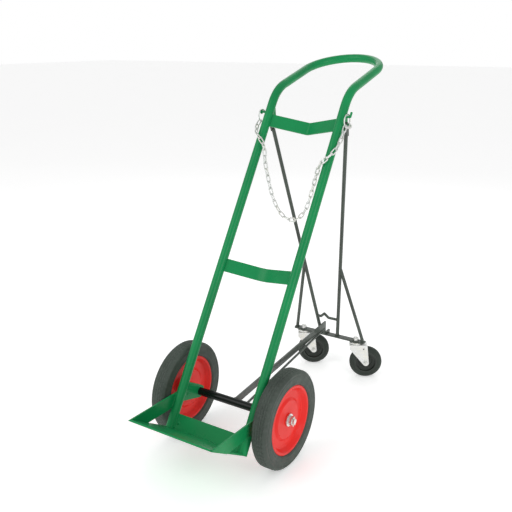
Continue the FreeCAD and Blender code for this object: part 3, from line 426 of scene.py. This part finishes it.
# ---- settings ----
def length(name, description, default):
    return bpy.props.FloatProperty(name=name, description=description, default=default,
                                   unit="LENGTH", precision=5)


def paint_colour(name, description, default):
    return bpy.props.FloatVectorProperty(name=name, description=description, default=default,
                                         subtype="COLOR", size=3, min=0, max=1)


class CartColours(bpy.types.PropertyGroup):
    green: paint_colour("Frame", "Enamel of the frame", (0.006, 0.245, 0.075))
    red: paint_colour("Rims", "Enamel of the wheel rims", (0.80, 0.028, 0.022))
    black: paint_colour("Axle", "Gloss enamel of the axle sleeve", (0.008, 0.011, 0.010))
    rods: paint_colour("Rods", "Paint of the rear leg and lock arm", (0.042, 0.055, 0.043))
    zinc: paint_colour("Zinc", "Plated steel", (0.80, 0.81, 0.80))
    tyre: paint_colour("Tyres", "Rubber of the large wheels", (0.050, 0.066, 0.054))
    caster: paint_colour("Caster tyres", "Rubber of the casters", (0.022, 0.031, 0.024))
    core: paint_colour("Caster cores", "Moulded middles of the casters", (0.020, 0.027, 0.021))
    bush: paint_colour("Wheel bushes", "Nylon of the wheel bushes", (0.72, 0.70, 0.60))


class CartSizes(bpy.types.PropertyGroup):
    groove_depth: length("Groove depth", "Depth of the rings round the tread", 0.0020)
    groove_width: length("Groove width", "Half width of the rings round the tread", 0.0011)
    sipe_depth: length("Sipe depth", "Depth of the slanting cuts", 0.0016)
    sipe_width: length("Sipe width", "Half width of the slanting cuts", 0.0017)
    rib_pitch: length("Rib pitch", "Distance between the rings", 0.0085)
    tread_half: length("Tread half width", "How far the tread reaches from the middle", 0.0178)
    sipes: bpy.props.IntProperty(name="Sipes", description="Slanting cuts in each rib", default=60)
    bead_radius: length("Weld bead", "Radius of a weld bead", 0.0028)
    bead_ripple: length("Weld ripple", "Distance between a bead's ripples", 0.0024)


class CartStudio(bpy.types.PropertyGroup):
    azimuth: bpy.props.FloatProperty(name="Azimuth", description="Camera's direction round the cart",
                                     default=math.radians(33.18), subtype="ANGLE")
    elevation: bpy.props.FloatProperty(name="Elevation", description="Camera's height above the horizon",
                                       default=math.radians(17.21), subtype="ANGLE")
    roll: bpy.props.FloatProperty(name="Roll", description="Camera's turn about its own axis",
                                  default=math.radians(-0.23), subtype="ANGLE")
    distance: length("Distance", "From the camera to its target", 1.9822)
    target_x: length("Target across", "Target's place across the cart", 0.0845)
    target_z: length("Target height", "Target's height above the floor", 0.6352)
    lens: bpy.props.FloatProperty(name="Lens", description="Focal length in millimetres", default=49.44)
    sky: bpy.props.FloatProperty(name="Sky", description="Strength of the light from all round",
                                 default=0.62)
    backdrop: bpy.props.FloatProperty(name="Backdrop", description="Brightness behind the cart",
                                      default=1.0)
    glow: bpy.props.FloatProperty(name="Floor glow", description="Light given off by the floor",
                                  default=0.34)


# ---- operators ----
class CART_OT_stage(bpy.types.Operator):
    """Pale floor, soft studio light and the camera"""
    bl_idname = "cart.stage"
    bl_label = "Stage"

    floor_half = 30.0
    lit_point = Vector((0, 0, 0.5))
    sensor_width = 36

    def execute(self, context):
        studio = context.scene.cart_studio
        self.floor(studio)
        self.sky(context.scene, studio)
        self.lamp("key", place=(-1.6, -2.6, 3.0), size=2.6, power=40.0)
        self.lamp("side", place=(2.8, -1.2, 1.9), size=1.6, power=22.0)
        self.lamp("back", place=(-1.0, 2.6, 2.6), size=2.0, power=14.0)
        self.camera(context.scene, studio)
        return {"FINISHED"}

    def floor(self, studio):
        """A flat square that gives off a little light, so that its far edge stays pale."""
        half = self.floor_half
        mesh = bpy.data.meshes.new("studio_floor")
        mesh.from_pydata([(-half, -half, 0), (half, -half, 0), (half, half, 0), (-half, half, 0)], [],
                         [(0, 1, 2, 3)])
        floor = bpy.data.objects.new("studio_floor", mesh)
        bpy.context.scene.collection.objects.link(floor)
        finish = Finish("studio floor", 0.75, specular=0.2)
        finish.colour(finish.mix(finish.noise(scale=1.5, detail=2.0), (0.955,) * 3, (0.97,) * 3))
        finish.glow(studio.glow)
        floor.data.materials.append(finish.material)

    def sky(self, scene, studio):
        """White all round: one strength for what the camera sees and another for the light it gives."""
        world = bpy.data.worlds.new("studio")
        world.use_nodes = True
        background = world.node_tree.nodes["Background"]
        background.inputs["Color"].default_value = (1.0, 1.0, 1.0, 1.0)
        ray = world.node_tree.nodes.new("ShaderNodeLightPath")
        strength = world.node_tree.nodes.new("ShaderNodeMapRange")
        strength.inputs["To Min"].default_value = studio.sky
        strength.inputs["To Max"].default_value = studio.backdrop
        world.node_tree.links.new(ray.outputs["Is Camera Ray"], strength.inputs["Value"])
        world.node_tree.links.new(strength.outputs["Result"], background.inputs["Strength"])
        scene.world = world

    def lamp(self, name, place, size, power):
        """A square soft light that faces the middle of the cart."""
        data = bpy.data.lights.new(name, "AREA")
        data.size = size
        data.energy = power
        lamp = bpy.data.objects.new(name, data)
        bpy.context.scene.collection.objects.link(lamp)
        lamp.location = place
        lamp.rotation_euler = (self.lit_point - Vector(place)).to_track_quat("-Z", "Y").to_euler()

    def camera(self, scene, studio):
        """Back = (sin a cos e, -cos a cos e, sin e); the camera stands that way from its target."""
        scene.view_settings.view_transform = "Standard"
        azimuth, elevation = studio.azimuth, studio.elevation
        back = Vector((math.sin(azimuth) * math.cos(elevation), -math.cos(azimuth) * math.cos(elevation),
                       math.sin(elevation)))
        right = Vector((math.cos(azimuth), math.sin(azimuth), 0))
        up = back.cross(right)
        turned_right = math.cos(studio.roll) * right + math.sin(studio.roll) * up
        turned_up = math.cos(studio.roll) * up - math.sin(studio.roll) * right
        target = Vector((studio.target_x, AXLE[1], studio.target_z))
        data = bpy.data.cameras.new("camera")
        data.lens = studio.lens
        data.sensor_width = self.sensor_width
        camera = bpy.data.objects.new("camera", data)
        scene.collection.objects.link(camera)
        rotation = Matrix((turned_right, turned_up, back)).transposed().to_4x4()
        camera.matrix_world = Matrix.Translation(target + back * studio.distance) @ rotation
        scene.camera = camera


class CART_OT_finishes(bpy.types.Operator):
    """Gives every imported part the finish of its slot"""
    bl_idname = "cart.finishes"
    bl_label = "Finishes"

    def execute(self, context):
        build_materials(context.scene.cart_colours)
        paint(sorted(NODES))
        return {"FINISHED"}


class CART_OT_tyres(bpy.types.Operator):
    """Large tyres with a cut tread and ringed sides"""
    bl_idname = "cart.tyres"
    bl_label = "Tyres"

    around = 960
    along = 84
    foot_inset = 0.004
    foot_rise = 0.006
    shoulder = 0.008
    shoulder_radius = 0.007
    tread_fade = 0.0015
    tread_below = 0.012
    edge_softness = 1.6
    wall_depth = 0.004
    # Each fine ring's distance from the tread or the rim, its half width and its depth.
    tread_ring = (0.0145, 0.0012, 0.0012)
    rim_ring = (0.0125, 0.0011, 0.0009)

    def execute(self, context):
        sizes = context.scene.cart_sizes
        for side in SIDES:
            node = f"{side}_tyre"
            low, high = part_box(node)
            radius = (high.z - low.z) / 2
            half = (high.x - low.x) / 2
            middle = (low.x + high.x) / 2
            rim_low, rim_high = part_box(f"{side}_rim_outer")
            seat = (rim_high.z - rim_low.z) / 2
            grid = self.surface(sizes, radius, half, seat, (middle, AXLE[1], AXLE[2]))
            make_piece(f"{side}_tyre_tread", [grid], MATERIALS["tyre_rubber"], f"{side}_wheel",
                       [node], crease=50)
        return {"FINISHED"}

    def outline(self, radius, half, seat):
        """Foot on the rim, flat side, shoulder and flat tread, as (radius, offset from the middle)."""
        foot, rise, shoulder, bend = self.foot_inset, self.foot_rise, self.shoulder, self.shoulder_radius
        points = [(seat, foot - half), (seat, half - foot), (seat + rise, half), (radius - shoulder, half),
                  (radius, half - shoulder), (radius, shoulder - half), (radius - shoulder, -half),
                  (seat + rise, -half)]
        radii = [0, 0, foot, bend, bend, bend, bend, foot]
        return spaced(rounded(points, radii, steps=8), self.along)

    def surface(self, sizes, radius, half, seat, centre):
        """The outline turned about the axle, cut inward by the deeper of the rings, where the distance
        to a ring is under its half width, and the sipes, which slant the other way in each rib. Two fine
        rings are cut into each side: one below the tread and one above the rim."""
        outline = self.outline(radius, half, seat)
        normals = outward_normals(outline)
        across = outline[:, 1][None, :]
        height = outline[:, 0][None, :]
        angle = np.linspace(0, TURN, self.around, endpoint=False)[:, None]
        fade = self.ease((sizes.tread_half - np.abs(across)) / self.tread_fade)
        tread = fade * (height > radius - self.tread_below)
        rib = np.floor(across / sizes.rib_pitch + 0.5)
        from_ring = np.abs(np.abs(across / sizes.rib_pitch - rib) - 0.5) * sizes.rib_pitch
        rings = sizes.groove_depth * self.ease(self.edge_softness - from_ring / sizes.groove_width)
        slant = np.where(rib % 2 == 0, 1.0, -1.0) * (across / sizes.rib_pitch - rib)
        phase = sizes.sipes * angle / TURN + 0.5 * slant
        pitch = TURN * radius / sizes.sipes
        from_sipe = np.abs(phase - np.round(phase)) * pitch
        cuts = sizes.sipe_depth * self.ease(self.edge_softness - from_sipe / sizes.sipe_width)
        depth = tread * np.maximum(rings, cuts)
        wall = np.abs(across) > half - self.wall_depth
        below_tread, above_rim = self.tread_ring[0], self.rim_ring[0]
        for place, (_, width, fall) in ((radius - below_tread, self.tread_ring),
                                        (seat + above_rim, self.rim_ring)):
            from_place = np.abs(height - place) / width
            depth = depth + wall * fall * self.ease(self.edge_softness - from_place)
        cut = outline[None] - normals[None] * depth[..., None]
        return turned(cut, centre, X_AXIS, steps=self.around)

    @staticmethod
    def ease(value):
        """Smooth step: 3 v^2 - 2 v^3 of the value held between 0 and 1."""
        held = np.clip(value, 0, 1)
        return held * held * (3 - 2 * held)


class CART_OT_rims(bpy.types.Operator):
    """Pressed rim halves with soft bends and a rolled edge"""
    bl_idname = "cart.rims"
    bl_label = "Rims"

    sheet = 0.003
    hub = 0.020
    band_depth = 0.015
    plateau_depth = 0.009
    edge_width = 0.008
    band_outside = 0.088
    band_inside = 0.066
    plateau_outside = 0.058
    bend = 0.005
    deep_bend = 0.006
    edge_bend = 0.0026
    inner_edge_bends = (0.004, 0.001)

    def execute(self, context):
        for side, sign in SIDES.items():
            centre_x = JOINTS[f"{side}_wheel_spin"]["pos_m"][0]
            for face, outward in (("outer", sign), ("inner", -sign)):
                node = f"{side}_rim_{face}"
                low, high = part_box(node)
                seat = (high.z - low.z) / 2
                edge = high.x - low.x
                outline = self.outline(seat, edge) * np.array([1.0, outward])
                grid = turned(outline, (centre_x, AXLE[1], AXLE[2]), X_AXIS, steps=160)
                make_piece(f"{side}_rim_{face}_pressing", [grid], MATERIALS["red_paint"],
                           f"{side}_wheel", [node], crease=35)
        return {"FINISHED"}

    def outline(self, seat, edge):
        """Bead seat, rolled edge, recessed band and raised middle, as one bent sheet. On a slope the
        back's corners shift by half the sheet, which keeps its thickness nearly even."""
        sheet = self.sheet
        shift = sheet / 2
        band = edge - self.band_depth
        plateau = edge - self.plateau_depth
        face = [(seat, 0.0), (seat, edge), (seat - self.edge_width, edge), (self.band_outside, band),
                (self.band_inside, band), (self.plateau_outside, plateau), (self.hub, plateau)]
        back = [(self.hub, plateau - sheet), (self.plateau_outside - shift, plateau - sheet),
                (self.band_inside - shift, band - sheet), (self.band_outside + shift, band - sheet),
                (seat - self.edge_width + shift, edge - sheet), (seat - sheet, edge - sheet),
                (seat - sheet, 0.0)]
        bend, deep = self.bend, self.deep_bend
        face_radii = [0, self.edge_bend, bend, deep, bend, bend, 0]
        back_radii = [0, bend, bend, deep, *self.inner_edge_bends, 0]
        return rounded(face + back, face_radii + back_radii, steps=6)


class CART_OT_caster_wheels(bpy.types.Operator):
    """Caster wheels with a round tread, ringed sides and a deep moulded web"""
    bl_idname = "cart.caster_wheels"
    bl_label = "Caster wheels"

    def execute(self, context):
        for side in SIDES:
            joint = JOINTS[f"{side}_caster_spin"]
            centre, axis = joint["pos_m"], joint["axis"]
            body = f"{side}_caster_wheel"
            low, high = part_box(f"{side}_caster_tyre")
            radius = (high.z - low.z) / 2
            core_low, core_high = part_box(f"{side}_caster_core")
            core = (core_high.z - core_low.z) / 2
            tyre = turned(self.tyre_outline(radius, core), centre, axis, steps=144)
            make_piece(f"{side}_caster_tyre_moulding", [tyre], MATERIALS["caster_rubber"], body,
                       [f"{side}_caster_tyre"], crease=50)
            middle = turned(self.core_outline(core), centre, axis, steps=120)
            make_piece(f"{side}_caster_core_moulding", [middle], MATERIALS["caster_core_plastic"], body,
                       [f"{side}_caster_core"], crease=40)
        return {"FINISHED"}

    def tyre_outline(self, radius, core):
        """Round tread; the sides carry two shallow rings, cut by a cosine across each ring's width."""
        half = 0.015
        slope = 0.001
        rise = 0.005
        shoulder = 0.008
        wall_depth = 0.005
        ring_width = 0.0016
        ring_depth = 0.0011
        side = [(core, half - slope), (core + rise, half), (radius - shoulder, half - slope),
                (radius, half - shoulder)]
        radii = [0.001, 0.002, 0.007, 0.008]
        mirrored = [(r, -o) for r, o in side[::-1]]
        # The list starts at the far foot, which keeps a sharp corner.
        points = mirrored[-1:] + side + mirrored[:-1]
        outline = spaced(rounded(points, [0] + radii + radii[:0:-1], steps=8), count=180)
        normals = outward_normals(outline)
        depth = np.zeros(len(outline))
        wall = np.abs(outline[:, 1]) > half - wall_depth
        below_tread = 0.0075
        above_core = 0.0045
        for place in (radius - below_tread, core + above_core):
            off = np.abs(outline[:, 0] - place) / ring_width
            depth += wall * (off < 1) * ring_depth * (0.5 + 0.5 * np.cos(np.pi * np.minimum(off, 1)))
        return outline - normals * depth[:, None]

    def core_outline(self, core):
        """Deep web between a rim and a boss, with a raised ring on the web."""
        half = 0.014
        boss = 0.014
        boss_half = 0.0175
        bore = 0.00405
        web = 0.004
        raised = web + 0.0022
        rim_thickness = 0.006
        rim = core - rim_thickness
        side = [(bore, boss_half), (boss, boss_half), (boss, web), (0.021, web), (0.0225, raised),
                (0.0255, raised), (0.027, web), (rim, web), (rim, half), (core, half)]
        mirrored = [(r, -o) for r, o in side[::-1]]
        radii = [0.0008, 0.0018, 0.002, 0.001, 0.001, 0.001, 0.001, 0.002, 0.0012, 0.0003]
        return rounded(side + mirrored, radii + radii[::-1], steps=4)


class CART_OT_weld_beads(bpy.types.Operator):
    """Rippled beads where the frame's plates and bars meet its tubes"""
    bl_idname = "cart.weld_beads"
    bl_label = "Weld beads"

    near = 0.002
    touching = 0.0008
    end_gap = 0.001
    plate_end_gap = 0.002
    ripple_height = 0.16
    taper_length = 0.003
    smallest_taper = 0.05
    bead_sides = 10
    ring_share = 0.985
    foot_runs = (-0.75, -0.1, 0.55)
    foot_run_length = 0.2

    def execute(self, context):
        sizes = context.scene.cart_sizes
        frame_paths = self.plate_paths() + self.riser_paths() + self.brace_paths() + self.strap_paths()
        groups = (("frame_weld_beads", frame_paths, "green_paint", "frame"),
                  ("arm_weld_beads", self.arm_paths(), "dark_rod_paint", "lock_arm"),
                  ("leg_weld_beads", self.leg_paths(), "dark_rod_paint", "leg_frame"))
        for name, paths, slot, body in groups:
            grids = [self.bead(path, sizes) for path in paths]
            make_piece(name, grids, MATERIALS[slot], body, wrap_rows=False, crease=60)
        return {"FINISHED"}

    def centre_x(self):
        """Distance of an upright's centre line from the middle."""
        return reach("frame_tube", X_AXIS)[1] - TUBE_RADIUS

    def on_tube(self, offset):
        """Distance from a tube's centre line to its surface at an offset: the root of r^2 - offset^2."""
        return math.sqrt(max(TUBE_RADIUS ** 2 - offset ** 2, 0))

    def plate_paths(self):
        """Both sides of each gusset and lug, up the back of its tube."""
        paths = []
        left, right = reach("left_axle_gusset", X_AXIS)
        half = (right - left) / 2
        n = -self.on_tube(half)
        for side, sign in SIDES.items():
            for node in (f"{side}_axle_gusset", f"{side}_pivot_lug"):
                points = corners(node)
                at_tube = points[(points @ FORWARD - FRAME_PLANE) > n - self.near]
                height = at_tube @ UP_FRAME - FRAME_ZERO
                gap = self.plate_end_gap
                span = np.linspace(height.min() + gap, height.max() - gap, num=120)
                for face in (-half, half):
                    paths.append([on_frame(sign * self.centre_x() + face, s, n) for s in span])
        return paths

    def riser_paths(self):
        """Both ends of the riser, front and back, and short runs along its foot."""
        paths = []
        high = reach("toe_riser", UP_FRAME)[1] - FRAME_ZERO
        top = reach("toe_plate", UP_FRAME)[1] - FRAME_ZERO
        span = np.linspace(top + self.end_gap, high - self.plate_end_gap, num=80)
        rear, front = reach("toe_riser", FORWARD)
        half = (front - rear) / 2
        inner = reach("toe_riser", X_AXIS)[1]
        for sign in SIDES.values():
            for face in (-half, half):
                paths.append([on_frame(sign * inner, s, face) for s in span])
        for start in self.foot_runs:
            run = np.linspace(start * inner, (start + self.foot_run_length) * inner, num=60)
            paths.append([on_frame(x, top, half) for x in run])
        return paths

    def brace_paths(self):
        """Both ends of each V brace, front and back."""
        paths = []
        for node in ("upper_brace", "lower_brace"):
            points = corners(node)
            low, high = reach(node, UP_FRAME)
            span = np.linspace(low - FRAME_ZERO + self.end_gap, high - FRAME_ZERO - self.end_gap, num=80)
            for sign in SIDES.values():
                ends = points[points[:, 0] * sign > reach(node, X_AXIS)[1] - self.touching]
                depth = ends @ FORWARD - FRAME_PLANE
                for n in (depth.min(), depth.max()):
                    x = sign * (self.centre_x() - self.on_tube(n))
                    paths.append([on_frame(x, s, n) for s in span])
        return paths

    def strap_paths(self):
        """The inner side of each strap where it meets its tube."""
        paths = []
        for side, sign in SIDES.items():
            points = corners(f"{side}_toe_strap")
            inner = np.abs(points[:, 0]).min()
            n = self.on_tube(inner - self.centre_x())
            near = points[np.abs(points @ FORWARD - FRAME_PLANE - n) < self.near]
            height = near @ UP_FRAME - FRAME_ZERO
            span = np.linspace(height.min() + self.end_gap, height.max() - self.end_gap, num=90)
            paths.append([on_frame(sign * inner, s, n) for s in span])
        return paths

    def arm_paths(self):
        """Round the sleeve beside the arm, at (cos t, sin t) times the sleeve's radius from the axle."""
        low, high = reach("axle_sleeve", Z_AXIS)
        radius = (high - low) / 2
        points = corners("lock_arm")
        foot = points[points[:, 1] < AXLE[1] + radius + self.near]
        angle = np.arctan2(foot[:, 2] - AXLE[2], foot[:, 1] - AXLE[1])
        span = np.linspace(angle.min(), angle.max(), num=60)
        around = np.stack([0 * span, np.cos(span), np.sin(span)], -1) * radius
        return [AXLE + around + X_AXIS * x for x in (foot[:, 0].min(), foot[:, 0].max())]

    def leg_paths(self):
        """A ring round the foot of each rod on the cross-bar, at (a cos t, b sin t) from its middle."""
        paths = []
        top = reach("cross_bar", Z_AXIS)[1]
        for side in SIDES:
            for node in (f"{side}_leg_main_rod", f"{side}_leg_brace_rod"):
                points = corners(node)
                foot = points[points[:, 2] < top + self.touching]
                middle = (foot.min(axis=0) + foot.max(axis=0)) / 2
                size = (foot.max(axis=0) - foot.min(axis=0)) / 2
                angle = np.linspace(0, TURN * self.ring_share, num=90)
                ring = np.stack([size[0] * np.cos(angle), size[1] * np.sin(angle), 0 * angle], -1)
                paths.append(middle + ring + Z_AXIS * (top - middle[2]))
        return paths

    def bead(self, path, sizes):
        """Radius r (1 + h |sin(pi s / ripple)|), drawn in towards both ends as the root of the distance."""
        path = np.asarray(path)
        run = np.concatenate([[0], np.cumsum(np.linalg.norm(np.diff(path, axis=0), axis=1))])
        ripple = 1 + self.ripple_height * np.abs(np.sin(np.pi * run / sizes.bead_ripple))
        ends = np.minimum(run, run[-1] - run) / self.taper_length
        taper = np.sqrt(np.clip(ends, self.smallest_taper, 1))
        return swept(path, sizes.bead_radius * ripple * taper, self.bead_sides)


class CART_PT_panel(bpy.types.Panel):
    """Lists the cart's steps"""
    bl_label = "Cylinder hand truck"
    bl_idname = "CART_PT_panel"
    bl_space_type = "VIEW_3D"
    bl_region_type = "UI"
    bl_category = "Cart"

    def draw(self, context):
        for step in STEPS:
            self.layout.operator(step.bl_idname)


STEPS = (CART_OT_stage, CART_OT_finishes, CART_OT_tyres, CART_OT_rims, CART_OT_caster_wheels,
         CART_OT_weld_beads)
CLASSES = (CartColours, CartSizes, CartStudio) + STEPS + (CART_PT_panel,)


def register():
    for item in CLASSES:
        bpy.utils.register_class(item)
    bpy.types.Scene.cart_colours = bpy.props.PointerProperty(type=CartColours)
    bpy.types.Scene.cart_sizes = bpy.props.PointerProperty(type=CartSizes)
    bpy.types.Scene.cart_studio = bpy.props.PointerProperty(type=CartStudio)


def unregister():
    del bpy.types.Scene.cart_studio
    del bpy.types.Scene.cart_sizes
    del bpy.types.Scene.cart_colours
    for item in reversed(CLASSES):
        bpy.utils.unregister_class(item)


def main():
    """Runs every step in order."""
    register()
    bpy.ops.cart.stage()
    bpy.ops.cart.finishes()
    bpy.ops.cart.tyres()
    bpy.ops.cart.rims()
    bpy.ops.cart.caster_wheels()
    bpy.ops.cart.weld_beads()


if __name__ == "__main__":
    main()
